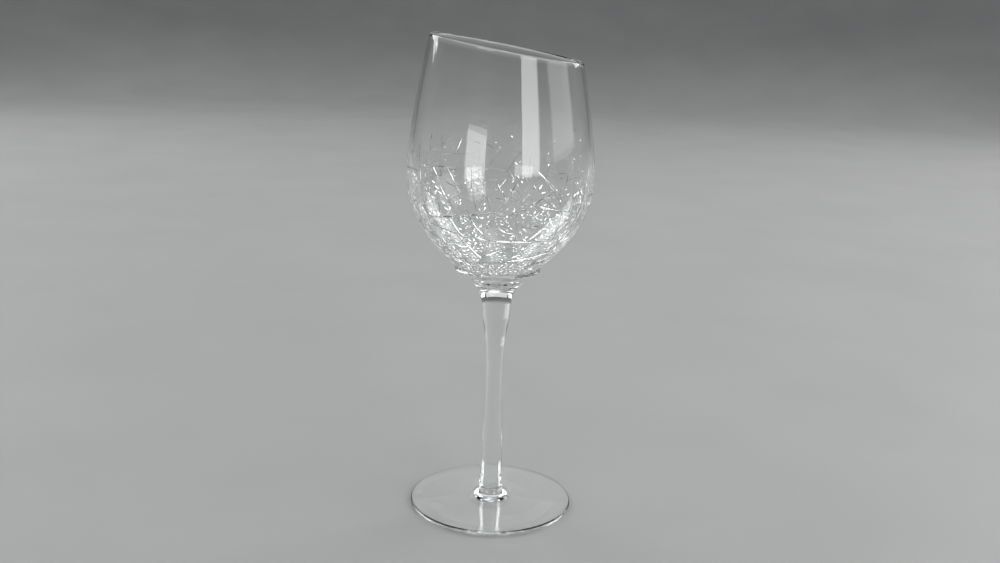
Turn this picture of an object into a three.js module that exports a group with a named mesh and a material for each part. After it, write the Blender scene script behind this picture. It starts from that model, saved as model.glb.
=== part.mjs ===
import * as THREE from "three";

// Wine glass with a crackled bowl and a slanting rim, all one piece of clear glass.
// Millimetres, +Z up, origin on the table under the middle of the foot. A bearing is
// measured round the glass from +X, and the front is -Y. The rim is highest at -X.

// Foot: a thin disc, a little hollow below, that climbs to a boss under the stem
const FOOT_RADIUS = 39.8;
const FOOT_EDGE = 2;
const FOOT_CROWN = 1.4;
const FOOT_SEAT = 5;
const FOOT_HOLLOW = 0.8;
const BOSS_RADIUS = 12;
const BOSS_RISE = 4.2;

// Stem: drawn glass, thinnest in the middle, with a bead where it joins the foot
const WAIST_RADIUS = 5.6;
const BEAD_BULGE = 0.4;
const BEAD_LENGTH = 5.4;
const STEM_BASE_RADIUS = 5.4;
const STEM_NECK_RADIUS = 4.15;
const STEM_TOP_RADIUS = 6.95;
const STEM_LOWER = 52;
const STEM_UPPER = 35.8;

// Gather: clear glass that flares from the stem and ends in a ledge under the bowl
const GATHER_RADIUS = 20.2;
const GATHER_RISE = 18.5;
const LEDGE_WIDTH = 0.8;
const LEDGE_RISE = 1.3;

// Bowl: widest at the belly, with walls that get thinner from the floor to the rim
const BELLY_RADIUS = 43.9;
const BELLY_RISE = 45.4;
const RIM_RADIUS = 34;
const RIM_RISE = 62.2;
const RIM_DROP = 11.3;
const BASE_WALL = 3.6;
const BELLY_WALL = 2;
const RIM_WALL = 1.6;
const FLOOR_DEPTH = 6.8;

// How fast the outline turns below and above the belly
const BELLY_FULLNESS = 2.2;
const SHOULDER_FULLNESS = 1.42;

// Crackle: grooves from the ledge up past the belly, higher on the rim's high side
const CRACKLE_RISE = 15;
const CRACKLE_SLANT = 14;
const CRACKLE_FADE = 6;
const CELLS = 182;
const GROOVE_WIDTH = 0.5;
const GROOVE_DEPTH = 0.45;

// The long cracks in front and the ones that part the band round the back. The heading
// is in degrees, 0 along the glass towards a larger bearing and 90 up.
const LONG_CRACKS = [
  { bearing: 72, height: 148, heading: 82 },
  { bearing: -141, height: 150, heading: 96 },
  { bearing: -34, height: 146, heading: 78 },
  { bearing: 18, height: 150, heading: 101 },
  { bearing: 134, height: 152, heading: 84 },
  { bearing: -86, height: 140.5, heading: -4 },
  { bearing: -84, height: 163, heading: 62 },
  { bearing: -70, height: 158, heading: -16 },
  { bearing: -57, height: 150, heading: 52 },
  { bearing: -99, height: 154, heading: 14 },
  { bearing: -116, height: 143, heading: -62 },
  { bearing: -64, height: 131, heading: 14 },
];

// Facets round the bowl and the foot, and round the stem and the gather
const AROUND = 64;
const AROUND_STEM = 32;
const SEED = 11;

// Heights of the joins, from the table up
const footTop = FOOT_EDGE + FOOT_CROWN;
const waist = footTop + BOSS_RISE;
const beadTop = waist + BEAD_LENGTH;
const neck = beadTop + STEM_LOWER;
const stemTop = neck + STEM_UPPER;
const gatherEnd = stemTop + GATHER_RISE;
const ledge = gatherEnd + LEDGE_RISE;
const belly = ledge + BELLY_RISE;
const rimTop = belly + RIM_RISE;
const crackleTop = belly + CRACKLE_RISE;
const bowlBaseRadius = GATHER_RADIUS - LEDGE_WIDTH;

const FULL_TURN = 2 * Math.PI;
const radians = (degrees) => degrees * Math.PI / 180;
const mix = (a, b, share) => a + (b - a) * share;
const clamp = (value) => Math.min(1, Math.max(0, value));

// Every run of the program draws the same cracks
let state = SEED;
function random(low, high) {
  state = (state * 1664525 + 1013904223) % 4294967296;
  return mix(low, high, state / 4294967296);
}

// Mesh under construction: corner positions and triangles that face out
const positions = [];
const triangles = [];

function addVertex(x, y, z) {
  positions.push(x, y, z);
  return positions.length / 3 - 1;
}

function addAround(radius, bearing, height) {
  return addVertex(radius * Math.cos(bearing), radius * Math.sin(bearing), height);
}

// A ring of vertices, from a function that gives radius and height at a bearing
function addRing(count, pointAt) {
  return Array.from({ length: count }, (_, i) => {
    const bearing = FULL_TURN * i / count;
    const point = pointAt(bearing);
    return addAround(point.radius, bearing, point.height);
  });
}

// Skin between two rings, the first one below the second as seen from outside. One may
// have twice as many vertices as the other.
function skin(below, above) {
  const steps = Math.max(below.length, above.length);
  const at = (ring, i) => ring[Math.floor(i * ring.length / steps) % ring.length];
  for (let i = 0; i < steps; i++) {
    const [a, b] = [at(below, i), at(below, i + 1)];
    const [c, d] = [at(above, i + 1), at(above, i)];
    if (a !== b) triangles.push(a, b, c);
    if (c !== d) triangles.push(a, c, d);
  }
}

function skinAll(rings) {
  for (let i = 1; i < rings.length; i++) skin(rings[i - 1], rings[i]);
}

// Outline from one point to the next, each left and met at a heading in degrees, where
// 0 leads outwards and 90 up. The pulls say how far each heading holds, as a share.
function bend(from, fromHeading, fromPull, to, toHeading, toPull) {
  const length = Math.hypot(to[0] - from[0], to[1] - from[1]);
  const handle = (point, heading, pull) => new THREE.Vector2(
    point[0] + Math.cos(radians(heading)) * pull * length,
    point[1] + Math.sin(radians(heading)) * pull * length,
  );
  return new THREE.CubicBezierCurve(
    new THREE.Vector2(...from),
    handle(from, fromHeading, fromPull),
    handle(to, toHeading, -toPull),
    new THREE.Vector2(...to),
  );
}

// Rings along a curve of the outline, without its first point
function ringsAlong(curve, steps, count) {
  return curve.getPoints(steps).slice(1).map(
    (point) => addRing(count, () => ({ radius: point.x, height: point.y })),
  );
}

function levelRing(count, radius, height) {
  return addRing(count, () => ({ radius, height }));
}

// Outer outline of the bowl: radius at a height, and how much it widens per height
function outerRadius(height) {
  if (height >= belly) {
    const share = (height - belly) / RIM_RISE;
    return BELLY_RADIUS - (BELLY_RADIUS - RIM_RADIUS) * share ** SHOULDER_FULLNESS;
  }
  const share = (belly - height) / BELLY_RISE;
  return BELLY_RADIUS - (BELLY_RADIUS - bowlBaseRadius) * share ** BELLY_FULLNESS;
}

function outerSlope(height) {
  const reach = BELLY_RISE / 1000;
  return (outerRadius(height + reach) - outerRadius(height - reach)) / (2 * reach);
}

function wallAt(height) {
  if (height >= belly) return mix(BELLY_WALL, RIM_WALL, clamp((height - belly) / RIM_RISE));
  return mix(BELLY_WALL, BASE_WALL, clamp((belly - height) / BELLY_RISE) ** 2);
}

// A point inside the wall at a height of the outer outline, at a depth from outside
function wallPoint(height, depth, lift = 0) {
  const slope = outerSlope(height);
  const length = Math.hypot(1, slope);
  return {
    radius: outerRadius(height) + (lift * slope - depth) / length,
    height: height + (lift + depth * slope) / length,
  };
}

// Height of the rim's outer edge at a bearing
function rimHeight(bearing) {
  return rimTop - RIM_DROP * (1 + Math.cos(bearing)) / 2;
}

// The crackled band as a flat map. Across is the bearing in radians, and up is the way
// along the outline over its radius, so every angle on the map is as on the glass.
const BAND_ROWS = 240;
const bandTop = crackleTop + CRACKLE_FADE / 2;

function drawBandMap() {
  const rows = [{ height: ledge, up: 0 }];
  for (let i = 1; i <= BAND_ROWS; i++) {
    const last = rows[i - 1];
    const height = mix(ledge, bandTop, i / BAND_ROWS);
    const radii = [outerRadius(last.height), outerRadius(height)];
    const way = Math.hypot(radii[1] - radii[0], height - last.height);
    rows.push({ height, up: last.up + 2 * way / (radii[0] + radii[1]) });
  }
  return rows;
}

const bandMap = drawBandMap();
const bandUp = bandMap[BAND_ROWS].up;

function heightAt(up) {
  const next = Math.max(1, bandMap.findIndex((row) => row.up >= Math.min(up, bandUp)));
  const [low, high] = [bandMap[next - 1], bandMap[next]];
  return mix(low.height, high.height, (up - low.up) / (high.up - low.up));
}

function upAt(height) {
  const next = Math.max(1, bandMap.findIndex((row) => row.height >= height));
  const [low, high] = [bandMap[next - 1], bandMap[next]];
  return mix(low.up, high.up, (height - low.height) / (high.height - low.height));
}

// How open the cracks are at a place: closed above the crackle's slanting upper edge
function openAt(across, up) {
  const waves = Math.sin(3 * across + 1) + Math.sin(5 * across + 2);
  const edge = crackleTop - CRACKLE_SLANT * (1 + Math.cos(across)) / 2 + waves;
  return clamp((edge - heightAt(up)) / CRACKLE_FADE);
}

// Cells of the crackle. A cell is a list of corners, anticlockwise on the map. A corner
// is a point that cells share, and the full turns to add to its bearing in this cell.
const facet = FULL_TURN * BELLY_RADIUS / AROUND;
const STRIDE = facet / 4;
const SHORTEST_EDGE = 0.36 * facet;
const SHARPEST_CORNER = radians(38);

const acrossOf = (corner) => corner.point.across + FULL_TURN * corner.turn;
const upOf = (corner) => corner.point.up;
const newCorner = (across, up, open) => ({ point: { across, up, open }, turn: 0 });
const after = (list, i) => list[(i + 1) % list.length];
const before = (list, i) => list[(i + list.length - 1) % list.length];

// The whole band as one cell, slit open along the first crack
function wholeBand(slitBearing, steps) {
  const start = Math.round(AROUND * slitBearing / 360);
  const ring = (count, up, first) => Array.from({ length: count }, (_, i) => {
    const corner = newCorner(FULL_TURN * (first + i) / count, up, 0);
    corner.point.onRing = true;
    return corner;
  });
  const low = ring(AROUND_STEM, 0, start * AROUND_STEM / AROUND);
  const high = ring(AROUND, bandUp, start);
  const slit = Array.from({ length: steps - 1 }, (_, i) => {
    const up = bandUp * (i + 1) / steps;
    const across = low[0].point.across + 0.06 * Math.sin(FULL_TURN * up / bandUp);
    return newCorner(across, up, openAt(across, up));
  });
  const turned = (corner) => ({ point: corner.point, turn: 1 });
  return [
    ...low, turned(low[0]), ...slit.map(turned), turned(high[0]),
    ...high.slice().reverse(), ...slit.slice().reverse(),
  ];
}

// Where the step from one place to the next leaves a cell, if it does
function exitOf(cell, from, to) {
  const [stepX, stepY] = [to.across - from.across, to.up - from.up];
  for (let i = 0; i < cell.length; i++) {
    const [a, b] = [cell[i], after(cell, i)];
    const [edgeX, edgeY] = [acrossOf(b) - acrossOf(a), upOf(b) - upOf(a)];
    const cross = stepX * edgeY - stepY * edgeX;
    if (cross <= 0) continue;
    const [offX, offY] = [acrossOf(a) - from.across, upOf(a) - from.up];
    const along = (offX * edgeY - offY * edgeX) / cross;
    const share = (offX * stepY - offY * stepX) / cross;
    if (along >= 0 && along <= 1 && share >= 0 && share <= 1) return { a, b, share };
  }
  return null;
}

// Walk from a place in a cell to the cell's edge, turning a little with every step
function walk(cell, start, heading, turning) {
  const way = [];
  let spot = start;
  for (let i = 0; i < 500; i++) {
    const stride = STRIDE / outerRadius(heightAt(spot.up));
    const next = {
      across: spot.across + stride * Math.cos(heading),
      up: spot.up + stride * Math.sin(heading),
    };
    const exit = exitOf(cell, spot, next);
    if (exit) return { way, exit };
    way.push(next);
    spot = next;
    heading += turning;
  }
  return null;
}

// The corner where a crack meets the cell's edge: a bend that is near enough, or a new
// corner. Two cracks never end at one point, so a near one that is taken gives null.
function meetingCorner({ a, b, share }) {
  const scale = outerRadius(heightAt(upOf(a)));
  const length = Math.hypot(acrossOf(b) - acrossOf(a), upOf(b) - upOf(a)) * scale;
  const near = share < 0.5 ? a : b;
  const gap = Math.min(share, 1 - share) * length;
  if (gap < SHORTEST_EDGE || near.point.onRing) return near.point.isEnd ? null : near;
  const corner = newCorner(
    mix(acrossOf(a), acrossOf(b), share),
    mix(upOf(a), upOf(b), share),
    mix(a.point.open, b.point.open, share),
  );
  return Object.assign(corner, { a, b });
}

function measure(cell) {
  let [area, across, up] = [0, 0, 0];
  cell.forEach((corner, i) => {
    const next = after(cell, i);
    const part = (acrossOf(corner) * upOf(next) - acrossOf(next) * upOf(corner)) / 2;
    area += part;
    across += part * (acrossOf(corner) + acrossOf(next)) / 3;
    up += part * (upOf(corner) + upOf(next)) / 3;
  });
  const scale = outerRadius(heightAt(up / area));
  return { area: area * scale ** 2, across: across / area, up: up / area, scale };
}

// Twice the area of the triangle from a place to a cell's corner and the next corner
function spanFrom(place, corner, next) {
  const [x, y] = [acrossOf(corner) - place.across, upOf(corner) - place.up];
  return x * (upOf(next) - place.up) - (acrossOf(next) - place.across) * y;
}

// A crack doesn't meet an edge at a sharp angle
function meetsWell(cell, i) {
  const [one, two] = [after(cell, i), before(cell, i)].map((corner) => new THREE.Vector2(
    acrossOf(corner) - acrossOf(cell[i]),
    upOf(corner) - upOf(cell[i]),
  ));
  return one.angleTo(two) > SHARPEST_CORNER;
}

function isGoodCut({ halves, ends }) {
  const areas = halves.map((half) => measure(half).area);
  const fair = Math.min(...areas) > 0.3 * (areas[0] + areas[1]);
  return fair && halves.every(
    (half) => ends.every((end) => meetsWell(half, half.indexOf(end))),
  );
}

// Corners of a crack between its two ends, one about every facet
function crackCorners(way, strength) {
  const pieces = Math.round(way.length / 4);
  return Array.from({ length: Math.max(0, pieces - 1) }, (_, i) => {
    const { across, up } = way[Math.round(way.length * (i + 1) / pieces)];
    return newCorner(across, up, strength * openAt(across, up));
  });
}

// Cut a cell in two along a crack through one place, or null where that leaves bad cells
function cutCell(cell, place, heading, turning, strength) {
  const ahead = walk(cell, place, heading, turning);
  const behind = walk(cell, place, heading + Math.PI, -turning);
  if (!ahead || !behind || ahead.exit.a === behind.exit.a) return null;
  const [start, end] = [meetingCorner(behind.exit), meetingCorner(ahead.exit)];
  if (!start || !end || start === end) return null;
  const way = [...behind.way.reverse(), place, ...ahead.way];
  const crack = crackCorners(way, strength);
  const rim = cell.flatMap((corner) => {
    const ends = [start, end].filter((made) => made.a === corner);
    return [corner, ...ends];
  });
  const fromStart = rotated(rim, rim.indexOf(start));
  const split = fromStart.indexOf(end);
  const right = [...fromStart.slice(0, split + 1), ...crack.slice().reverse()];
  const left = [...fromStart.slice(split), start, ...crack];
  return { halves: [left, right], ends: [start, end] };
}

function rotated(list, first) {
  return [...list.slice(first), ...list.slice(0, first)];
}

// A crack's new end is also a corner of the cell on the other side of the edge it meets
function shareEnd(cells, end) {
  if (!end.a) return;
  const { a, b } = end;
  for (const cell of cells) {
    const i = cell.findIndex((corner, k) =>
      corner.point === b.point && after(cell, k).point === a.point);
    if (i < 0) continue;
    cell.splice(i + 1, 0, { point: end.point, turn: cell[i].turn - b.turn });
    return;
  }
}

function replaceCell(cells, index, cut) {
  cells.splice(index, 1, ...cut.halves);
  cut.ends.forEach((end) => {
    end.point.isEnd = true;
    shareEnd(cells, end);
  });
}

function isInside(cell, place) {
  let inside = false;
  cell.forEach((corner, i) => {
    const next = after(cell, i);
    if ((upOf(corner) > place.up) === (upOf(next) > place.up)) return;
    const share = (place.up - upOf(corner)) / (upOf(next) - upOf(corner));
    if (mix(acrossOf(corner), acrossOf(next), share) > place.across) inside = !inside;
  });
  return inside;
}

// The direction in which a cell is longest, as an angle on the map
function longAxis(cell, { across, up }) {
  let [xx, xy, yy] = [0, 0, 0];
  cell.forEach((corner) => {
    const [x, y] = [acrossOf(corner) - across, upOf(corner) - up];
    xx += x * x;
    xy += x * y;
    yy += y * y;
  });
  return Math.atan2(2 * xy, xx - yy) / 2;
}

// Crack a cell somewhere near its middle, across its longer direction
function crackAtRandom(cells, index) {
  const cell = cells[index];
  const middle = measure(cell);
  const reach = Math.sqrt(middle.area) / middle.scale;
  const steps = Math.sqrt(middle.area) / STRIDE;
  for (let attempt = 0; attempt < 60; attempt++) {
    const place = {
      across: middle.across + random(-0.16, 0.16) * reach,
      up: middle.up + random(-0.16, 0.16) * reach,
    };
    const heading = longAxis(cell, middle) + Math.PI / 2 + random(-0.5, 0.5);
    const turning = random(-0.6, 0.6) / steps;
    const cut = cutCell(cell, place, heading, turning, random(0.65, 1));
    if (!cut || !isGoodCut(cut)) continue;
    replaceCell(cells, index, cut);
    return true;
  }
  return false;
}

function crackLong(cells, { bearing, height, heading }) {
  for (const turn of [-1, 0, 1]) {
    const place = { across: radians(bearing) + FULL_TURN * turn, up: upAt(height) };
    const index = cells.findIndex((cell) => isInside(cell, place));
    if (index < 0) continue;
    const cut = cutCell(cells[index], place, radians(heading), 0.006, 1);
    if (cut) replaceCell(cells, index, cut);
    return;
  }
}

function crackBand() {
  const [slit, ...long] = LONG_CRACKS;
  const cells = [wholeBand(slit.bearing, Math.round(bandUp * AROUND / FULL_TURN))];
  long.forEach((crack) => crackLong(cells, crack));
  const whole = new Set();
  while (cells.length < CELLS) {
    const areas = cells.map((cell) => (whole.has(cell) ? 0 : measure(cell).area));
    const largest = areas.indexOf(Math.max(...areas));
    if (areas[largest] === 0) break;
    if (!crackAtRandom(cells, largest)) whole.add(cells[largest]);
  }
  return cells;
}

// Vertex of the mesh on the outer surface, sunk by a depth
function surfaceVertex(across, up, depth) {
  const point = wallPoint(heightAt(up), depth);
  return addAround(point.radius, across, point.height);
}

// Vertex at the bottom of a groove, or on the surface where the crack is closed
function grooveVertex(point) {
  point.vertex ??= surfaceVertex(point.across, point.up, GROOVE_DEPTH * point.open);
  return point.vertex;
}

// Vertex of a cell's flat top beside the groove: the corner moved in by half its width
function lipVertex(cell, i) {
  const { point } = cell[i];
  if (point.open === 0) return grooveVertex(point);
  const inward = (a, b) => new THREE.Vector2(
    upOf(a) - upOf(b),
    acrossOf(b) - acrossOf(a),
  ).normalize();
  const [one, two] = [inward(before(cell, i), cell[i]), inward(cell[i], after(cell, i))];
  const widen = 1 / Math.max(0.4, 1 + one.dot(two));
  const half = GROOVE_WIDTH / 2 * point.open / outerRadius(heightAt(point.up));
  const shift = one.add(two).multiplyScalar(widen * half);
  return surfaceVertex(acrossOf(cell[i]) + shift.x, point.up + shift.y, 0);
}

// A cell's flat top: round its middle, or corner to corner where that can't be seen
function skinTopOf(cell, lips) {
  const middle = measure(cell);
  const seen = cell.every(
    (corner, i) => spanFrom(middle, corner, after(cell, i)) * middle.scale ** 2 > 1,
  );
  if (!seen) {
    const outline = cell.map((corner) => new THREE.Vector2(acrossOf(corner), upOf(corner)));
    const faces = THREE.ShapeUtils.triangulateShape(outline, []);
    faces.forEach((face) => triangles.push(...face.map((i) => lips[i])));
    return;
  }
  const centre = surfaceVertex(middle.across, middle.up, 0);
  lips.forEach((lip, i) => triangles.push(centre, lip, after(lips, i)));
}

function skinCell(cell) {
  const lips = cell.map((_, i) => lipVertex(cell, i));
  skinTopOf(cell, lips);
  cell.forEach((corner, i) => {
    const [low, lowNext] = [grooveVertex(corner.point), grooveVertex(after(cell, i).point)];
    const [lip, lipNext] = [lips[i], after(lips, i)];
    if (lipNext !== lowNext) triangles.push(low, lowNext, lipNext);
    if (lip !== low) triangles.push(low, lipNext, lip);
  });
}

// Cracks that are barely open end there, so that no groove is thinner than a hair
function closeFaintCracks(cells) {
  cells.flat().forEach(({ point }) => {
    if (point.open < 0.2) point.open = 0;
  });
}

function ringVertices(cells, up, count) {
  const points = new Set(cells.flat().map((corner) => corner.point));
  const onRing = [...points].filter((point) => point.onRing && point.up === up);
  const slot = (point) => Math.round(point.across * count / FULL_TURN) % count;
  return onRing.sort((a, b) => slot(a) - slot(b)).map(grooveVertex);
}

// Foot and stem, from the middle of the underside up to the ledge
function skinBase() {
  const round = FOOT_EDGE / 2;
  const edge = new THREE.Path();
  edge.absarc(FOOT_RADIUS - round, round, round, -Math.PI / 2, Math.PI / 2, false);
  const seat = levelRing(AROUND, FOOT_RADIUS - round - FOOT_SEAT, 0);
  const middle = addVertex(0, 0, FOOT_HOLLOW);
  seat.forEach((vertex, i) => triangles.push(middle, after(seat, i), vertex));
  const edgeRings = edge.getPoints(4).map((point) => levelRing(AROUND, point.x, point.y));
  skinAll([seat, ...edgeRings]);
  const top = FOOT_RADIUS - round;
  const climb = THREE.MathUtils.radToDeg(Math.atan2(FOOT_CROWN, top - BOSS_RADIUS));
  const boss = [BOSS_RADIUS, footTop];
  const bossEnd = [WAIST_RADIUS, waist];
  const beadMiddle = [STEM_BASE_RADIUS + BEAD_BULGE, mix(waist, beadTop, 0.45)];
  const stemBase = [STEM_BASE_RADIUS, beadTop];
  const stemNeck = [STEM_NECK_RADIUS, neck];
  const stemEnd = [STEM_TOP_RADIUS, stemTop];
  const gather = [GATHER_RADIUS, gatherEnd];
  const bowlBase = [bowlBaseRadius, ledge];
  skinAll([
    edgeRings.at(-1),
    levelRing(AROUND, mix(top, BOSS_RADIUS, 0.5), mix(FOOT_EDGE, footTop, 0.5)),
    levelRing(AROUND_STEM, ...boss),
    ...ringsAlong(bend(boss, 180 - climb, 0.45, bossEnd, 90, 0.4), 5, AROUND_STEM),
    ...ringsAlong(bend(bossEnd, 90, 0.3, beadMiddle, 90, 0.3), 2, AROUND_STEM),
    ...ringsAlong(bend(beadMiddle, 90, 0.4, stemBase, 92, 0.3), 3, AROUND_STEM),
    ...ringsAlong(bend(stemBase, 92, 0.29, stemNeck, 90, 0.22), 5, AROUND_STEM),
    ...ringsAlong(bend(stemNeck, 90, 0.69, stemEnd, 87, 0.36), 6, AROUND_STEM),
    ...ringsAlong(bend(stemEnd, 87, 0.37, gather, 30, 0.47), 8, AROUND_STEM),
    ...ringsAlong(bend(gather, 30, 0.4, bowlBase, 150, 0.4), 3, AROUND_STEM).slice(0, -1),
    ringVertices(cells, 0, AROUND_STEM),
  ]);
}

// A ring of the upper bowl, at a share of the way from the crackled band to the rim
function upperRing(share, depthAt, lift = 0) {
  return addRing(AROUND, (bearing) => {
    const height = mix(bandTop, rimHeight(bearing), share);
    return wallPoint(height, depthAt(height), lift);
  });
}

// Upper bowl, its rounded lip, and the inside down to the floor
function skinTop() {
  const outside = () => 0;
  const lip = [45, 90, 135].map((angle) => {
    const depthAt = (height) => wallAt(height) * (1 - Math.cos(radians(angle))) / 2;
    return upperRing(1, depthAt, RIM_WALL / 2 * Math.sin(radians(angle)));
  });
  const inner = (height, count) => addRing(count, () => wallPoint(height, wallAt(height)));
  const base = wallPoint(ledge, BASE_WALL);
  const baseHeading = THREE.MathUtils.radToDeg(Math.atan2(1, outerSlope(ledge)));
  const floor = bend(
    [base.radius, base.height], 180 + baseHeading, 0.35,
    [0, ledge - FLOOR_DEPTH], 180, 0.3,
  );
  const floorRings = ringsAlong(floor, 5, AROUND_STEM).slice(0, -1);
  skinAll([
    ringVertices(cells, bandUp, AROUND),
    ...[0.25, 0.5, 0.75, 1].map((share) => upperRing(share, outside)),
    ...lip,
    ...[1, 0.75, 0.5, 0.25, 0].map((share) => upperRing(share, wallAt)),
    ...[0.82, 0.68, 0.55, 0.42, 0.3].map((share) => inner(mix(ledge, bandTop, share), AROUND)),
    ...[0.19, 0.09, 0].map((share) => inner(mix(ledge, bandTop, share), AROUND_STEM)),
    ...floorRings,
  ]);
  const last = floorRings.at(-1);
  const centre = addVertex(0, 0, ledge - FLOOR_DEPTH);
  last.forEach((vertex, i) => triangles.push(vertex, after(last, i), centre));
}

const cells = crackBand();
closeFaintCracks(cells);
cells.forEach(skinCell);
skinBase();
skinTop();

const geometry = new THREE.BufferGeometry();
geometry.setAttribute("position", new THREE.Float32BufferAttribute(positions, 3));
geometry.setIndex(triangles);
geometry.computeVertexNormals();

const glass = new THREE.Mesh(
  geometry,
  new THREE.MeshStandardMaterial({ color: 0xe6ebe6, roughness: 0.04, metalness: 0 }),
);
glass.name = "wine_glass";

const group = new THREE.Group();
group.add(glass);

export default group;
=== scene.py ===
"""Looks of the cracked wine glass: a fine clear body with deep hairline cracks, on a pale floor."""

import math

import bpy
import numpy as np
from mathutils import Matrix, Vector, kdtree


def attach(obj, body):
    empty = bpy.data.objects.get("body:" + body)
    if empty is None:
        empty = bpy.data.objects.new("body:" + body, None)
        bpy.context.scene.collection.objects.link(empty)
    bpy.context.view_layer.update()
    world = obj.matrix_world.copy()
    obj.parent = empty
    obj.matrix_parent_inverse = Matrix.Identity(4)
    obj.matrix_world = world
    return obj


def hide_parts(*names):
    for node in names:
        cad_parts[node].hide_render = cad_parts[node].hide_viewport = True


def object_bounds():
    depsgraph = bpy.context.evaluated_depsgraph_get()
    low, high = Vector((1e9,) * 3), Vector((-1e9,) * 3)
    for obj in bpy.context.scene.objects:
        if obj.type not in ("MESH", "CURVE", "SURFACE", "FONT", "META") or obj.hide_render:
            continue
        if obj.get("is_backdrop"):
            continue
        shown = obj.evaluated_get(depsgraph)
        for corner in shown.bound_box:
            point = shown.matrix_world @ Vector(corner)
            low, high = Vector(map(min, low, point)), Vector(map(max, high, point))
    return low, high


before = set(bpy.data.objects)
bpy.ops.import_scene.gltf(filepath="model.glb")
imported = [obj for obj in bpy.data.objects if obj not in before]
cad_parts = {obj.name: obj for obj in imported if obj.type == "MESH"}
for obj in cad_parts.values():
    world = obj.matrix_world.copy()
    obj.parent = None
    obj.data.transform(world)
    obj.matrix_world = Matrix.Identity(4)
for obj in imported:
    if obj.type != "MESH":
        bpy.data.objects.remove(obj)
cad_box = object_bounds()

# Sizes of the outline in millimetres, as in the solid
FOOT_RADIUS = 39.8
FOOT_EDGE = 2.0
FOOT_CROWN = 1.4
FOOT_SEAT = 5.0
FOOT_HOLLOW = 0.8
BOSS_RADIUS = 12.0
BOSS_RISE = 4.2
WAIST_RADIUS = 5.6
BEAD_BULGE = 0.4
BEAD_LENGTH = 5.4
STEM_BASE_RADIUS = 5.4
STEM_NECK_RADIUS = 4.15
STEM_TOP_RADIUS = 6.95
STEM_LOWER = 52.0
STEM_UPPER = 35.8
GATHER_RADIUS = 20.2
GATHER_RISE = 18.5
LEDGE_WIDTH = 0.8
LEDGE_RISE = 1.3
BELLY_RADIUS = 43.9
BELLY_RISE = 45.4
RIM_RADIUS = 34.0
RIM_RISE = 62.2
RIM_DROP = 11.3
BASE_WALL = 3.6
BELLY_WALL = 2.0
RIM_WALL = 1.6
FLOOR_DEPTH = 6.8
BELLY_FULLNESS = 2.2
SHOULDER_FULLNESS = 1.42
CRACKLE_TOP = 18.0
GROOVE_DEPTH = 0.45

# The cracks as they look: narrower and deeper than in the solid, leaning, with ragged bottoms. The first
# number is the share of the width that is kept, CRACK_SHARE is the depth as a share of the wall, and
# widths, leans and heights are in millimetres.
CRACK_NARROWING = 0.28
WIDEST_NARROWED = 0.6
CRACK_SHARE = 0.44
CRACK_LEAN_LOW = 0.55
CRACK_LEAN_HIGH = 0.25
LEAN_COST = 0.15
CRACK_RAGGEDNESS = 0.5
CRACK_JITTER = 0.12
FAINT_SHARE = 0.6
FAINT_DEPTH = 0.3
FADE_HEIGHT = 25
CRACK_SEED = 3

# Bearing in degrees, height and number of the flakes that stand out in front; the rest are scattered
CLUSTERS = [
    (-130, 163.5, 4),
    (-126, 159.8, 4),
    (-137, 159.8, 3),
    (-124, 154.8, 4),
    (-105, 168.6, 4),
    (-106, 163.9, 1),
    (-66, 166.1, 4),
    (-62, 156.0, 3),
    (-57, 161.1, 1),
    (-42, 150.5, 3),
    (-33, 148.5, 3),
    (-33, 154.2, 1),
    (-153, 164.7, 1),
    (-142, 179.0, 1),
    (-125, 175.7, 1),
    (-80, 143.0, 2),
    (-71, 142.6, 2),
    (-54, 140.8, 3),
    (-40, 141.5, 3),
    (-61, 180.5, 1),
    (-61, 177.9, 1),
    (-61, 175.6, 1),
]

# Half the length of a flake of the clusters: of a single one, and how much each further one adds
SINGLE_FLAKE = 0.6
FLAKE_GROWTH = 0.25

# The scattered flakes: half their length, how far they lie from the middle of a cell of the crackle, and
# how their number changes over the band
FLAKE_TRIES = 17000
FLAKE_SIZES = (0.28, 1.05)
FLAKE_SPREAD = 4
FLAKES_ANYWHERE = 0.0004
FLAKES_LOW_POWER = 3.5
FLAKES_AT_SIDES = 0.3

# All flakes. One over LARGE_FLAKE always mirrors a lamp to the camera, with as broad a side as it can.
# FLAKE_WALL_SHARE is the most that half a flake's width may take of the wall.
LARGE_FLAKE = 1.07
FLAKE_GAP = 0.08
FLAKE_CORNERS = 6
FLAKE_HALF_THICKNESS = 0.014
FLAKE_WALL_SHARE = 0.36
FLAKE_SEED = 5

# How far round, in radians, cracks and flakes catch the light for the camera in front of the glass, and
# the share of the flakes further round that do so too. The others do so for places VIEW_STEP apart.
CRACKS_IN_FRONT = 1.5
FLAKES_IN_FRONT = 0.8
FLAKES_TO_FRONT = 0.55
VIEW_STEP = math.pi / 4

# The least brightness of a lamp that is mirrored, and the most that the cosine between the look and a face
# may be for all of the light to be mirrored
BRIGHT_LAMP = 1.2
MOST_HEAD_ON = 0.7
GLASS_IOR = 1.5

# Camera, as fitted to the photograph's outline
CAMERA_PLACE = (0.0, -0.525, 0.2482)
CAMERA_YAW = math.radians(0.15)
CAMERA_PITCH = math.radians(14.42)
CAMERA_ROLL = math.radians(1.88)
FOCAL_PIXELS = 1133.8
FRAME_WIDTH = 1000
SENSOR_WIDTH = 36

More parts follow.
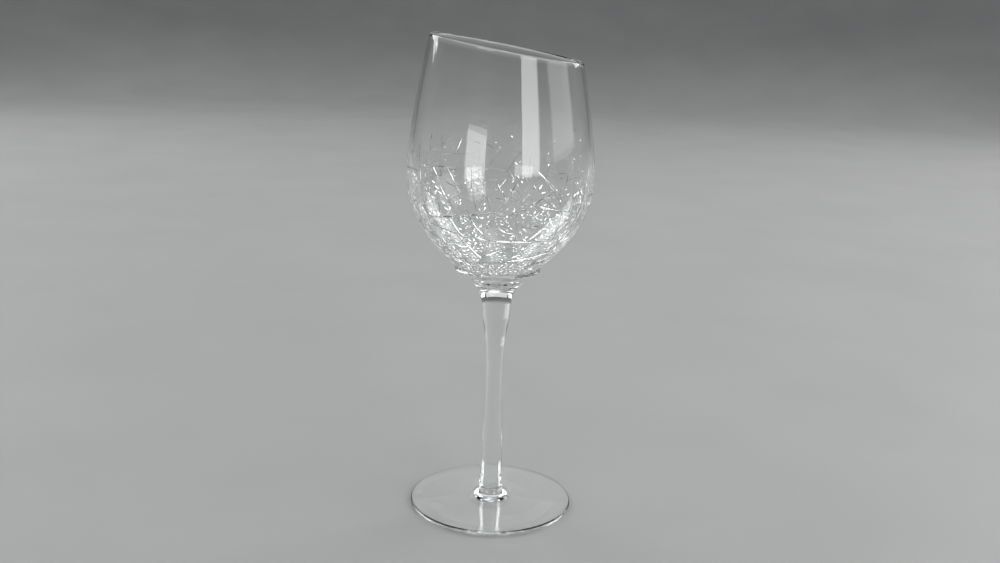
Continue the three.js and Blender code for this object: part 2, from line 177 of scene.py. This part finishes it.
# Name, place, aim, size and brightness of each lamp, in metres
SOFTBOXES = [
    ("window_right", (1.15, -1.55, 0.78), (0, 0, 0.17), (0.8, 1.35), 3),
    ("window_left", (-0.95, -1.57, 0.26), (0, 0, 0.17), (0.8, 0.44), 2.6),
    ("side_right", (1.9, -0.2, 0.8), (0, 0, 0.15), (1.3, 1.2), 1.0),
    ("back_right", (1.35, 1.25, 0.95), (0, 0, 0.12), (0.85, 1.05), 3),
    ("back_left", (-1.35, 1.25, 0.95), (0, 0, 0.12), (0.85, 1.05), 3),
    ("behind", (0, 2.0, 0.95), (0, 0, 0), (2.2, 1.1), 0.44),
    ("above", (0.3, 0.2, 2.0), (0, 0, 0), (1.2, 1.0), 1.4),
]

# How far, in millimetres, a point of the solid may lie from where the outline has it
SLACK = 0.02

# Points round each ring, and the parts that each edge of the solid's crackle is cut into
AROUND = 128
FINER = 4

# Edges turned further than this, in radians, are sharp
SHARP_TURN = 0.6

MM = 0.001
CLEAR, CRACKED = 0, 1

foot_top = FOOT_EDGE + FOOT_CROWN
waist = foot_top + BOSS_RISE
bead_top = waist + BEAD_LENGTH
neck = bead_top + STEM_LOWER
stem_top = neck + STEM_UPPER
gather_end = stem_top + GATHER_RISE
ledge = gather_end + LEDGE_RISE
belly = ledge + BELLY_RISE
rim_top = belly + RIM_RISE
band_top = belly + CRACKLE_TOP
bowl_base = GATHER_RADIUS - LEDGE_WIDTH


# Outline


def outer_radius(height):
    height = np.asarray(height, float)
    above = np.clip((height - belly) / RIM_RISE, 0, None)
    below = np.clip((belly - height) / BELLY_RISE, 0, None)
    drop = (BELLY_RADIUS - RIM_RADIUS) * above**SHOULDER_FULLNESS
    return BELLY_RADIUS - drop - (BELLY_RADIUS - bowl_base) * below**BELLY_FULLNESS


def outer_slope(height):
    step = 0.05
    return (outer_radius(height + step) - outer_radius(height - step)) / (2 * step)


def wall_at(height):
    height = np.asarray(height, float)
    above = np.clip((height - belly) / RIM_RISE, 0, 1)
    below = np.clip((belly - height) / BELLY_RISE, 0, 1)
    return BELLY_WALL + (RIM_WALL - BELLY_WALL) * above + (BASE_WALL - BELLY_WALL) * below**2


def wall_point(height, depth, lift=0.0):
    """Radius and height of a point this deep in the wall and lifted along it from the outline's height."""
    slope = outer_slope(height)
    length = np.hypot(1, slope)
    return outer_radius(height) + (lift * slope - depth) / length, height + (lift + depth * slope) / length


def rim_height(bearing):
    """The rim slants evenly down to the right."""
    return rim_top - RIM_DROP * (1 + np.cos(bearing)) / 2


def bend(start, start_heading, start_pull, end, end_heading, end_pull, steps):
    """Points of a curve of the outline, without its first one."""
    start, end = np.array(start, float), np.array(end, float)
    length = np.hypot(*(end - start))
    a, b = math.radians(start_heading), math.radians(end_heading)
    leave = start + start_pull * length * np.array([math.cos(a), math.sin(a)])
    meet = end - end_pull * length * np.array([math.cos(b), math.sin(b)])
    t = np.linspace(0, 1, steps + 1)[1:, None]
    return (1 - t) ** 3 * start + 3 * (1 - t) ** 2 * t * leave + 3 * (1 - t) * t * t * meet + t**3 * end


# Mesh under construction


class Skin:
    def __init__(self):
        self.points, self.faces, self.materials = [], [], []

    def ring(self, radius, height):
        """A ring of points; radius and height are numbers or functions of the bearing."""
        bearing = 2 * math.pi * np.arange(AROUND) / AROUND
        radius = np.broadcast_to(radius(bearing) if callable(radius) else radius, bearing.shape)
        height = np.broadcast_to(height(bearing) if callable(height) else height, bearing.shape)
        first = len(self.points)
        self.points += list(zip(radius * np.cos(bearing), radius * np.sin(bearing), height))
        return list(range(first, first + AROUND))

    def face(self, *corners, material=CLEAR):
        self.faces.append(corners)
        self.materials.append(material)

    def between(self, below, above):
        """Skin between two rings; one may have a whole multiple of the other's points."""
        steps = max(len(below), len(above))
        low = [below[i * len(below) // steps % len(below)] for i in range(steps + 1)]
        high = [above[i * len(above) // steps % len(above)] for i in range(steps + 1)]
        for i in range(steps):
            a, b, c, d = low[i], low[i + 1], high[i + 1], high[i]
            corners = [a, b, c, d] if a != b and c != d else ([a, b, c] if c == d else [a, c, d])
            self.face(*corners)

    def stack(self, rings):
        for below, above in zip(rings, rings[1:]):
            self.between(below, above)


def welded(mesh):
    """The points of a mesh in millimetres, each of them once, and its triangles."""
    points = np.empty(len(mesh.vertices) * 3)
    mesh.vertices.foreach_get("co", points)
    points = points.reshape(-1, 3) / MM
    _, first, same = np.unique(np.round(points, 3), axis=0, return_index=True, return_inverse=True)
    mesh.calc_loop_triangles()
    corners = np.empty(len(mesh.loop_triangles) * 3, int)
    mesh.loop_triangles.foreach_get("vertices", corners)
    return points[first], same.reshape(-1)[corners].reshape(-1, 3)


def on_outline(radius, height):
    """The height on the band's outline that is nearest to each point, and the point's depth under it."""
    table = np.linspace(ledge, band_top + 3, 2400)
    nearest = np.argmin(
        (radius[:, None] - outer_radius(table)) ** 2 + (height[:, None] - table) ** 2, axis=1
    )
    near = table[nearest]
    slope = outer_slope(near)
    length = np.hypot(1, slope)
    away, up = radius - outer_radius(near), height - near
    return near + (away * slope + up) / length**2, (up * slope - away) / length


def band_from_frame(mesh):
    """The crackled band of the solid: bearing, height on the outline, depth, and triangles."""
    points, triangles = welded(mesh)
    height, depth = on_outline(np.hypot(points[:, 0], points[:, 1]), points[:, 2])
    in_band = (height > ledge - SLACK) & (height < band_top + SLACK)
    outside = (depth > -0.2) & (depth < GROOVE_DEPTH + 0.15)
    kept = triangles[(in_band & outside)[triangles].all(axis=1)]
    used, kept = np.unique(kept, return_inverse=True)
    bearing = np.arctan2(points[used, 1], points[used, 0])
    depth = np.where(depth[used] < SLACK, 0, depth[used])
    return bearing, height[used], depth, kept.reshape(-1, 3)


# The band laid flat, to go with the bearing: the way up along the outline, over the radius there
MAP_HEIGHTS = np.linspace(ledge - 1, band_top + 1, 4000)
MAP_UP = np.concatenate(
    [
        [0],
        np.cumsum(
            np.hypot(np.diff(MAP_HEIGHTS), np.diff(outer_radius(MAP_HEIGHTS)))
            / outer_radius((MAP_HEIGHTS[1:] + MAP_HEIGHTS[:-1]) / 2)
        ),
    ]
)


def surface_axes(bearing, height):
    """Outwards, sideways and up along the surface of the bowl, at one point of it."""
    slope = float(outer_slope(height))
    out = np.array([math.cos(bearing), math.sin(bearing), -slope]) / math.hypot(1, slope)
    side = np.array([-math.sin(bearing), math.cos(bearing), 0])
    return out, side, np.cross(out, side)


def viewer(bearing, front_reach):
    """The camera's place, or for a flaw further round than that reach, the place turned to face it."""
    turn = (bearing + 1.5 * math.pi) % (2 * math.pi) - math.pi
    steps = round(turn / VIEW_STEP) if abs(turn) > front_reach else 0
    return np.array(Matrix.Rotation(steps * VIEW_STEP, 3, "Z") @ Vector(CAMERA_PLACE) / MM)


def mirrors(place, out, seen_from):
    """The ways a flaw inside the wall can face to mirror a lamp to someone who looks at the glass."""

    def inside_wall(ray):
        ray = ray / np.linalg.norm(ray)
        along = (ray - (ray @ out) * out) / GLASS_IOR
        return along + math.copysign(math.sqrt(1 - along @ along), ray @ out) * out

    seen = inside_wall(place - seen_from)
    for _, lamp, _, _, brightness in SOFTBOXES:
        if brightness < BRIGHT_LAMP:
            continue
        facing = seen - inside_wall(np.array(lamp) / MM - place)
        facing /= np.linalg.norm(facing)
        if abs(seen @ facing) < MOST_HEAD_ON:
            yield facing


def lean(place, axes, ways, depth, lowness, chance):
    """How far a crack's bottom leans sideways and up, so that most of its walls mirror a lamp."""
    out, side, rise = axes
    most = CRACK_LEAN_HIGH + (CRACK_LEAN_LOW - CRACK_LEAN_HIGH) * lowness
    most *= chance.uniform(0.3, 1.7)
    best = math.inf, np.zeros(3)
    bearing = math.atan2(place[1], place[0])
    for facing in mirrors(place, out, viewer(bearing, CRACKS_IN_FRONT)):
        flat = facing - (facing @ out) * out
        shift = depth * (facing @ out) * flat / (flat @ flat)
        length = np.linalg.norm(shift)
        miss = np.mean([abs(way @ facing) for way in ways]) + LEAN_COST * length
        if miss < best[0]:
            best = miss, shift * min(1, most / max(length, 0.01))
    uneven = best[1] + chance.normal(0, CRACK_JITTER, 3)
    return uneven @ side, uneven @ rise


def ragged(bearing, up):
    """Uneven share of a crack's depth, which changes over a millimetre or two."""
    waves = np.sin(84 * bearing + 52 * up) + np.sin(68 * up - 104 * bearing + 1)
    return 1 + CRACK_RAGGEDNESS * (waves + np.sin(124 * up + 36 * bearing + 2)) / 3


def turned(angle):
    """The same angle, between half a turn back and half a turn on."""
    return (angle + math.pi) % (2 * math.pi) - math.pi


def crack_bottoms(triangles, low):
    """For each point, the points on the cracks' bottoms that share a triangle with it."""
    found = {}
    for triangle in triangles:
        for corner in triangle:
            found.setdefault(corner, set()).update(triangle[low[triangle]])
    return found


def narrow_cracks(bottoms, low, height, across, up):
    """Moves the lips of the cracks towards the bottoms, and gives the lips."""
    gaps = {}
    for lip, floors in bottoms.items():
        if floors and not low[lip]:
            each = ((turned(across[lip] - across[floor]), up[lip] - up[floor]) for floor in floors)
            gaps[lip] = min(each, key=lambda gap: math.hypot(*gap))
    for lip, (turn, rise) in gaps.items():
        width = math.hypot(turn, rise) * outer_radius(height[lip])
        if width < WIDEST_NARROWED:
            across[lip] -= turn * (1 - CRACK_NARROWING)
            up[lip] -= rise * (1 - CRACK_NARROWING)
    return gaps


def lean_cracks(bottoms, low, bearing, height, across, up, deep):
    """Leans the bottoms of the cracks, and makes many of the upper ones faint."""
    chance = np.random.RandomState(CRACK_SEED)
    radius = outer_radius(height)
    places = np.stack([radius * np.cos(bearing), radius * np.sin(bearing), height], axis=1)
    for i in np.where(low)[0]:
        ways = [places[j] - places[i] for j in bottoms[i] if j != i]
        ways = [way / np.linalg.norm(way) for way in ways]
        lowness = min(1, max(0, (belly - height[i]) / FADE_HEIGHT))
        if chance.uniform() < FAINT_SHARE * (1 - lowness):
            deep[i] *= FAINT_DEPTH
        axes = surface_axes(bearing[i], height[i])
        sideways, rise = lean(places[i], axes, ways, deep[i], lowness, chance)
        across[i] += sideways / radius[i]
        up[i] += rise / radius[i]


def cut_finer(triangles, low, across, up, deep):
    """Cuts the band's triangles finer: bearing, way up and depth of each point, faces and materials."""
    numbers, spots, faces, materials = {}, [], [], []

    def spot(corners, weights):
        key = tuple(sorted((int(c), w) for c, w in zip(corners, weights) if w))
        if key not in numbers:
            base = across[corners[0]]
            turns = turned(across[corners] - base)
            share = np.array(weights) / FINER
            numbers[key] = len(spots)
            spots.append((base + share @ turns, share @ up[corners], share @ deep[corners]))
        return numbers[key]

    for corners in triangles:
        grid = {
            (i, j): spot(corners, (FINER - i - j, i, j))
            for i in range(FINER + 1)
            for j in range(FINER + 1 - i)
        }
        material = CRACKED if low[corners].any() else CLEAR
        for i in range(FINER):
            for j in range(FINER - i):
                faces.append((grid[i, j], grid[i + 1, j], grid[i, j + 1]))
                if i + j < FINER - 1:
                    faces.append((grid[i + 1, j], grid[i + 1, j + 1], grid[i, j + 1]))
        materials += [material] * FINER**2
    return np.array(spots), faces, materials


def refined_band(skin):
    """Adds the crackled band with narrow deep cracks and flakes; gives its lower and upper ring."""
    bearing, height, depth, triangles = band_from_frame(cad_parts["wine_glass"].data)
    low = depth > 0
    across, up = bearing.copy(), np.interp(height, MAP_HEIGHTS, MAP_UP)
    deep = depth / GROOVE_DEPTH * CRACK_SHARE * wall_at(height)
    bottoms = crack_bottoms(triangles, low)
    lips = narrow_cracks(bottoms, low, height, across, up)
    lean_cracks(bottoms, low, bearing, height, across, up, deep)

    spots, faces, materials = cut_finer(triangles, low, across, up, deep)
    on_height = np.interp(spots[:, 1], MAP_UP, MAP_HEIGHTS)
    spot_depth = spots[:, 2] * ragged(spots[:, 0], spots[:, 1])
    radius, rise = wall_point(on_height, spot_depth)
    first = len(skin.points)
    skin.points += list(zip(radius * np.cos(spots[:, 0]), radius * np.sin(spots[:, 0]), rise))
    for face, material in zip(faces, materials):
        skin.face(*(first + i for i in face), material=material)

    inner = (height > ledge + 2) & (height < band_top - 2)
    middles = [i for i in np.where(~low & inner)[0] if i not in lips]
    walls = [i for face, material in zip(faces, materials) if material == CRACKED for i in face]
    walls = np.array(skin.points[first:])[np.unique(walls)]
    add_flakes(skin, bearing[middles], height[middles], walls)

    def ring(at):
        found = np.where(abs(on_height - at) < 0.01)[0]
        order = np.argsort(np.mod(spots[found, 0] + 1e-6, 2 * math.pi))
        return [first + i for i in found[order]]

    return ring(ledge), ring(band_top)


def flake_density(bearings, heights):
    """Dense low in the band, less so at its sides and more on the left, with few flakes elsewhere."""
    low_top, side_top = belly + 6, belly + 2
    low = np.clip((low_top - heights) / (low_top - ledge), 0, 1)
    sides = np.abs(np.cos(bearings)) ** 3 * np.clip((side_top - heights) / 20, 0, 1)
    leftward = 1 - 0.3 * np.cos(bearings)
    return FLAKES_ANYWHERE + low**FLAKES_LOW_POWER + FLAKES_AT_SIDES * sides * leftward


def add_flakes(skin, bearings, heights, walls):
    """Thin hollow flakes inside the wall, clear of the cracks and of each other."""
    chance = np.random.RandomState(FLAKE_SEED)
    weights = flake_density(bearings, heights) * chance.uniform(0, 1, len(heights))
    crack_points = kdtree.KDTree(len(walls))
    for i, point in enumerate(walls):
        crack_points.insert(point, i)
    crack_points.balance()
    taken = np.zeros((FLAKE_TRIES + sum(number for *_, number in CLUSTERS), 4))
    count = 0

    def place(bearing, height, reach, size):
        """Adds a flake at a random spot within reach, if it has room there."""
        nonlocal count
        turn = chance.uniform(0, 2 * math.pi)
        height = max(ledge + 1, height + reach * math.sin(turn))
        bearing += reach * math.cos(turn) / float(outer_radius(height))
        wall = float(wall_at(height))
        radius, rise = wall_point(height, wall * chance.uniform(0.42, 0.58))
        centre = np.array([radius * math.cos(bearing), radius * math.sin(bearing), rise])
        others = taken[:count]
        gaps = np.linalg.norm(others[:, :3] - centre, axis=1) - others[:, 3]
        if min(crack_points.find(centre)[2], gaps.min(initial=math.inf)) < size + FLAKE_GAP:
            return False
        taken[count] = (*centre, size)
        count += 1
        add_flake(skin, centre, surface_axes(bearing, height)[0], wall, size, chance)
        return True

    # The flakes of a cluster go as near to its place as there is room
    for degrees, height, number in CLUSTERS:
        for _ in range(number):
            size = SINGLE_FLAKE + FLAKE_GROWTH * (number - 1)
            any(place(math.radians(degrees), height, reach, size) for reach in np.linspace(0, 3, 40))
    for cell in chance.choice(len(heights), FLAKE_TRIES, p=weights / weights.sum()):
        reach = FLAKE_SPREAD * math.sqrt(chance.uniform())
        place(bearings[cell], heights[cell], reach, chance.uniform(*FLAKE_SIZES))


def add_flake(skin, centre, out, wall, size, chance):
    """A flake that mirrors a lamp to the camera, or often, round the back, to someone there."""
    bearing = math.atan2(centre[1], centre[0])
    to_front = size > LARGE_FLAKE or chance.uniform() < FLAKES_TO_FRONT
    seen_from = viewer(bearing, math.pi if to_front else FLAKES_IN_FRONT)
    facings = [f for f in mirrors(centre, out, seen_from) if np.linalg.norm(np.cross(f, out)) > 0.1]
    if not facings:
        return
    facing = facings[chance.randint(len(facings))]
    if size > LARGE_FLAKE:
        facing = max(facings, key=lambda f: abs(f @ (centre - seen_from)))
    facing = facing + chance.normal(0, 0.025, 3)
    facing /= np.linalg.norm(facing)
    long = np.cross(facing, out)
    long /= np.linalg.norm(long)
    short = np.cross(facing, long)
    widest = FLAKE_WALL_SHARE * wall / max(abs(short @ out), 0.2)
    width = min(size * chance.uniform(0.5, 0.9), widest)
    outline = chance.uniform(0.55, 1.15, FLAKE_CORNERS)
    add_hollow(skin, centre, size * long, width * short, FLAKE_HALF_THICKNESS * facing, outline)


def add_hollow(skin, centre, long, short, thick, outline):
    """A hollow in the shape of a flat uneven lens, its faces turned towards its middle."""
    first, sides = len(skin.points), len(outline)
    skin.points += [tuple(centre + thick), tuple(centre - thick)]
    for i, reach in enumerate(outline):
        turn = 2 * math.pi * i / sides
        skin.points.append(tuple(centre + reach * (math.cos(turn) * long + math.sin(turn) * short)))
    for i in range(sides):
        a, b = first + 2 + i, first + 2 + (i + 1) % sides
        skin.face(first, b, a, material=CRACKED)
        skin.face(first + 1, a, b, material=CRACKED)


def along(skin, *curve, stop=None):
    """Rings along a curve of the outline; with stop at -1 the last one is left out."""
    return [skin.ring(radius, height) for radius, height in bend(*curve)[:stop]]


def foot(skin):
    """Rings of the foot, from its hollow underside round the edge to the boss."""
    half = FOOT_EDGE / 2
    top = FOOT_RADIUS - half
    seat = top - FOOT_SEAT
    hollow = [skin.ring(seat * share, FOOT_HOLLOW * (1 - share**2)) for share in (0.33, 0.66, 0.9)]
    centre = len(skin.points)
    skin.points.append((0, 0, FOOT_HOLLOW))
    for i in range(AROUND):
        skin.face(centre, hollow[0][(i + 1) % AROUND], hollow[0][i])
    under = [*hollow, skin.ring(seat, 0), skin.ring(top - 0.2, 0)]
    edge = [
        skin.ring(top + half * math.cos(a), half + half * math.sin(a))
        for a in np.linspace(-math.pi / 2, math.pi / 2, 15)
    ]
    crown = [
        skin.ring(top + (BOSS_RADIUS - top) * share, FOOT_EDGE + FOOT_CROWN * share)
        for share in np.linspace(0.02, 1, 18)
    ]
    return [*under, *edge, *crown]


def stem(skin):
    """Rings of boss, bead, stem and gather, up to the ledge and without its own ring."""
    climb = math.degrees(math.atan2(FOOT_CROWN, FOOT_RADIUS - FOOT_EDGE / 2 - BOSS_RADIUS))
    boss, boss_end = (BOSS_RADIUS, foot_top), (WAIST_RADIUS, waist)
    bead_middle = (STEM_BASE_RADIUS + BEAD_BULGE, waist + 0.45 * BEAD_LENGTH)
    stem_base, stem_neck = (STEM_BASE_RADIUS, bead_top), (STEM_NECK_RADIUS, neck)
    stem_end, gather = (STEM_TOP_RADIUS, stem_top), (GATHER_RADIUS, gather_end)
    return [
        *along(skin, boss, 180 - climb, 0.45, boss_end, 90, 0.4, 16),
        *along(skin, boss_end, 90, 0.3, bead_middle, 90, 0.3, 8),
        *along(skin, bead_middle, 90, 0.4, stem_base, 92, 0.3, 10),
        *along(skin, stem_base, 92, 0.29, stem_neck, 90, 0.22, 24),
        *along(skin, stem_neck, 90, 0.69, stem_end, 87, 0.36, 24),
        *along(skin, stem_end, 87, 0.37, gather, 30, 0.47, 40),
        *along(skin, gather, 30, 0.4, (bowl_base, ledge), 150, 0.4, 10, stop=-1),
    ]


def upper_bowl(skin):
    """Rings from the top of the band over the slanting rim and back down inside to the same height."""

    def upper(share, depth_at, lift=0.0):
        def at(bearing):
            height = band_top + (rim_height(bearing) - band_top) * share
            return wall_point(height, depth_at(height), lift)

        return skin.ring(lambda b: at(b)[0], lambda b: at(b)[1])

    outside = [upper(share, lambda h: 0 * h) for share in np.linspace(0, 1, 21)[1:]]
    lip = [
        upper(1, lambda h, a=a: wall_at(h) * (1 - math.cos(a)) / 2, RIM_WALL / 2 * math.sin(a))
        for a in np.linspace(0, math.pi, 13)[1:-1]
    ]
    inside = [upper(share, wall_at) for share in np.linspace(1, 0, 21)]
    return [*outside, *lip, *inside]


def bowl_inside(skin):
    """Rings down the inside of the lower bowl and over its floor, without the floor's middle."""
    inside = [
        skin.ring(*wall_point(height, wall_at(height)))
        for height in np.linspace(band_top, ledge, 36)[1:]
    ]
    base_radius, base_height = wall_point(ledge, BASE_WALL)
    heading = 180 + math.degrees(math.atan2(1, outer_slope(ledge)))
    base, middle = (base_radius, base_height), (0, ledge - FLOOR_DEPTH)
    return [*inside, *along(skin, base, heading, 0.35, middle, 180, 0.3, 24, stop=-1)]


def glass_body():
    skin = Skin()
    band_low, band_high = refined_band(skin)
    skin.stack([*foot(skin), *stem(skin), band_low])
    rest = [*upper_bowl(skin), *bowl_inside(skin)]
    skin.stack([band_high, *rest])
    bottom = len(skin.points)
    skin.points.append((0, 0, ledge - FLOOR_DEPTH))
    for i in range(AROUND):
        skin.face(rest[-1][i], rest[-1][(i + 1) % AROUND], bottom)

    mesh = bpy.data.meshes.new("clear_body")
    mesh.from_pydata([Vector(p) * MM for p in skin.points], [], skin.faces)
    mesh.polygons.foreach_set("material_index", skin.materials)
    body = bpy.data.objects.new("clear_body", mesh)
    bpy.context.collection.objects.link(body)
    mark_edges(mesh)
    return body


def mark_edges(mesh):
    """Smooth but for the edges that turn most, such as those of cracks and flakes."""
    mesh.shade_smooth()
    normals = np.empty(len(mesh.polygons) * 3)
    mesh.polygons.foreach_get("normal", normals)
    normals = normals.reshape(-1, 3)
    edge_of_loop = np.empty(len(mesh.loops), int)
    mesh.loops.foreach_get("edge_index", edge_of_loop)
    face_of_loop = np.repeat(
        np.arange(len(mesh.polygons)), [len(p.vertices) for p in mesh.polygons]
    )
    order = np.argsort(edge_of_loop, kind="stable")
    edges, faces = edge_of_loop[order], face_of_loop[order]
    pair = np.where(edges[1:] == edges[:-1])[0]
    alike = (normals[faces[pair]] * normals[faces[pair + 1]]).sum(axis=1)
    sharp = np.zeros(len(mesh.edges), bool)
    sharp[edges[pair[alike < math.cos(SHARP_TURN)]]] = True
    mesh.attributes.new("sharp_edge", "BOOLEAN", "EDGE").data.foreach_set("value", sharp)


# Materials


def new_material(name):
    material = bpy.data.materials.new(name)
    material.use_nodes = True
    nodes, links = material.node_tree.nodes, material.node_tree.links
    return material, nodes, links, nodes["Principled BSDF"]


def noise(nodes, links, place, scale, detail=2):
    """Noise over the object's own coordinates."""
    texture = nodes.new("ShaderNodeTexNoise")
    texture.inputs["Scale"].default_value = scale
    texture.inputs["Detail"].default_value = detail
    links.new(place.outputs["Object"], texture.inputs["Vector"])
    return texture.outputs["Fac"]


def fade(nodes, links, value, start, end, most, least=0):
    """A ramp from least at start to most at end."""
    ramp = nodes.new("ShaderNodeMapRange")
    ramp.inputs["From Min"].default_value = start
    ramp.inputs["From Max"].default_value = end
    ramp.inputs["To Min"].default_value = least
    ramp.inputs["To Max"].default_value = most
    links.new(value, ramp.inputs["Value"])
    return ramp.outputs["Result"]


def combine(nodes, links, operation, first, second):
    math_node = nodes.new("ShaderNodeMath")
    math_node.operation = operation
    links.new(first, math_node.inputs[0])
    links.new(second, math_node.inputs[1])
    return math_node.outputs["Value"]


def glass_material():
    """Clear glass with faint waves and smears, and a haze of bruises low in the bowl."""
    material, nodes, links, shader = new_material("clear_glass")
    shader.inputs["Base Color"].default_value = (0.985, 0.995, 0.988, 1)
    shader.inputs["Transmission Weight"].default_value = 1
    shader.inputs["IOR"].default_value = GLASS_IOR
    place = nodes.new("ShaderNodeTexCoord")
    smears = fade(nodes, links, noise(nodes, links, place, 38, 4), 0.55, 0.8, 0.09)
    haze = fade(nodes, links, noise(nodes, links, place, 210, 3), 0.5, 0.68, 0.34)
    split = nodes.new("ShaderNodeSeparateXYZ")
    links.new(place.outputs["Object"], split.inputs["Vector"])
    for start, end in ((0.158, 0.128), (0.118, 0.124)):
        share = fade(nodes, links, split.outputs["Z"], start, end, 1)
        haze = combine(nodes, links, "MULTIPLY", haze, share)
    rough = combine(nodes, links, "MAXIMUM", smears, haze)
    links.new(rough, shader.inputs["Roughness"])
    bump = nodes.new("ShaderNodeBump")
    bump.inputs["Strength"].default_value = 0.3
    bump.inputs["Distance"].default_value = 0.0001
    links.new(noise(nodes, links, place, 60, 1), bump.inputs["Height"])
    links.new(bump.outputs["Normal"], shader.inputs["Normal"])
    return material


def crack_material():
    """The walls of the cracks: torn glass that scatters some of the light."""
    material, nodes, links, shader = new_material("crack_walls")
    shader.inputs["Base Color"].default_value = (0.97, 0.98, 0.96, 1)
    shader.inputs["Transmission Weight"].default_value = 1
    shader.inputs["IOR"].default_value = GLASS_IOR
    place = nodes.new("ShaderNodeTexCoord")
    tear = fade(nodes, links, noise(nodes, links, place, 700), 0.3, 0.7, 0.15, 0.02)
    links.new(tear, shader.inputs["Roughness"])
    return material


def floor_material():
    """Pale grey with a faint grain, and painted shade: a little darker away from the glass, a painted
    falloff of light round it.
    """
    material, nodes, links, shader = new_material("pale_floor")
    shader.inputs["Roughness"].default_value = 0.6
    place = nodes.new("ShaderNodeTexCoord")
    reach = nodes.new("ShaderNodeVectorMath")
    reach.operation = "LENGTH"
    links.new(place.outputs["Object"], reach.inputs[0])
    # Painted shade: the floor's colour gets darker with distance from the glass, standing in for light
    # that falls off
    painted_falloff = fade(nodes, links, reach.outputs["Value"], 0.25, 2.6, 0.85)
    grain = fade(nodes, links, noise(nodes, links, place, 9, 3), 0.3, 0.7, 0.15)
    ramp = nodes.new("ShaderNodeValToRGB")
    ramp.color_ramp.elements[0].color = (0.47, 0.47, 0.46, 1)
    ramp.color_ramp.elements[1].color = (0.3, 0.3, 0.295, 1)
    links.new(combine(nodes, links, "ADD", painted_falloff, grain), ramp.inputs["Fac"])
    links.new(ramp.outputs["Color"], shader.inputs["Base Color"])
    return material


# Object

body = glass_body()
body.data.materials.append(glass_material())
body.data.materials.append(crack_material())
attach(body, "root")
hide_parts("wine_glass")


# Round floor that sweeps up into a backdrop on all sides, just below the foot

FLOOR_GAP = 0.00002


def sweep():
    flat, bend_radius, wall = 1.9, 1.2, 1.5
    arc = [
        (flat + bend_radius * math.sin(a), bend_radius * (1 - math.cos(a)))
        for a in np.linspace(0, math.pi / 2, 24)
    ]
    profile = [(r, 0.0) for r in (0.02, 0.1, 0.3, 0.7, 1.3)] + arc + [(flat + bend_radius, wall)]
    count = 96
    turns = 2 * math.pi * np.arange(count) / count
    points = [(r * math.cos(t), r * math.sin(t), z - FLOOR_GAP) for r, z in profile for t in turns]
    faces = [tuple(range(count))]
    for ring in range(len(profile) - 1):
        for i in range(count):
            j = (i + 1) % count
            low, high = ring * count, (ring + 1) * count
            faces.append((low + i, high + i, high + j, low + j))
    mesh = bpy.data.meshes.new("floor")
    mesh.from_pydata(points, [], faces)
    mesh.shade_smooth()
    mesh.materials.append(floor_material())
    obj = bpy.data.objects.new("floor", mesh)
    bpy.context.collection.objects.link(obj)
    obj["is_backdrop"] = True


sweep()


# Light


def softbox(name, place, target, size, brightness):
    light = bpy.data.lights.new(name, "AREA")
    light.shape = "RECTANGLE"
    light.size, light.size_y = size
    light.energy = 4 * size[0] * size[1] * brightness
    obj = bpy.data.objects.new(name, light)
    obj.location = place
    direction = Vector(target) - Vector(place)
    obj.rotation_euler = direction.to_track_quat("-Z", "Y").to_euler()
    obj.visible_camera = False
    bpy.context.collection.objects.link(obj)


for box in SOFTBOXES:
    softbox(*box)

world = bpy.data.worlds.new("studio")
bpy.context.scene.world = world
world.use_nodes = True
background = world.node_tree.nodes["Background"]
background.inputs["Color"].default_value = (0.9, 0.95, 1.0, 1)
background.inputs["Strength"].default_value = 0.3


# Camera


def add_camera():
    look = Vector(
        (
            math.sin(CAMERA_YAW) * math.cos(CAMERA_PITCH),
            math.cos(CAMERA_YAW) * math.cos(CAMERA_PITCH),
            -math.sin(CAMERA_PITCH),
        )
    )
    level = Vector((math.cos(CAMERA_YAW), -math.sin(CAMERA_YAW), 0))
    above = level.cross(look)
    right = math.cos(CAMERA_ROLL) * level + math.sin(CAMERA_ROLL) * above
    up = math.cos(CAMERA_ROLL) * above - math.sin(CAMERA_ROLL) * level
    camera = bpy.data.cameras.new("camera")
    camera.sensor_width = SENSOR_WIDTH
    camera.lens = SENSOR_WIDTH * FOCAL_PIXELS / FRAME_WIDTH
    obj = bpy.data.objects.new("camera", camera)
    turn = Matrix((right, up, -look)).transposed().to_4x4()
    obj.matrix_world = Matrix.Translation(CAMERA_PLACE) @ turn
    bpy.context.collection.objects.link(obj)
    bpy.context.scene.camera = obj


add_camera()

scene = bpy.context.scene
scene.view_settings.view_transform = "Standard"
scene.cycles.max_bounces = 24
scene.cycles.transmission_bounces = 24
scene.cycles.glossy_bounces = 16
scene.cycles.blur_glossy = 0

boxes = {"cad": cad_box, "visual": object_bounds()}
{name: [list(corner) for corner in box] for name, box in boxes.items()}
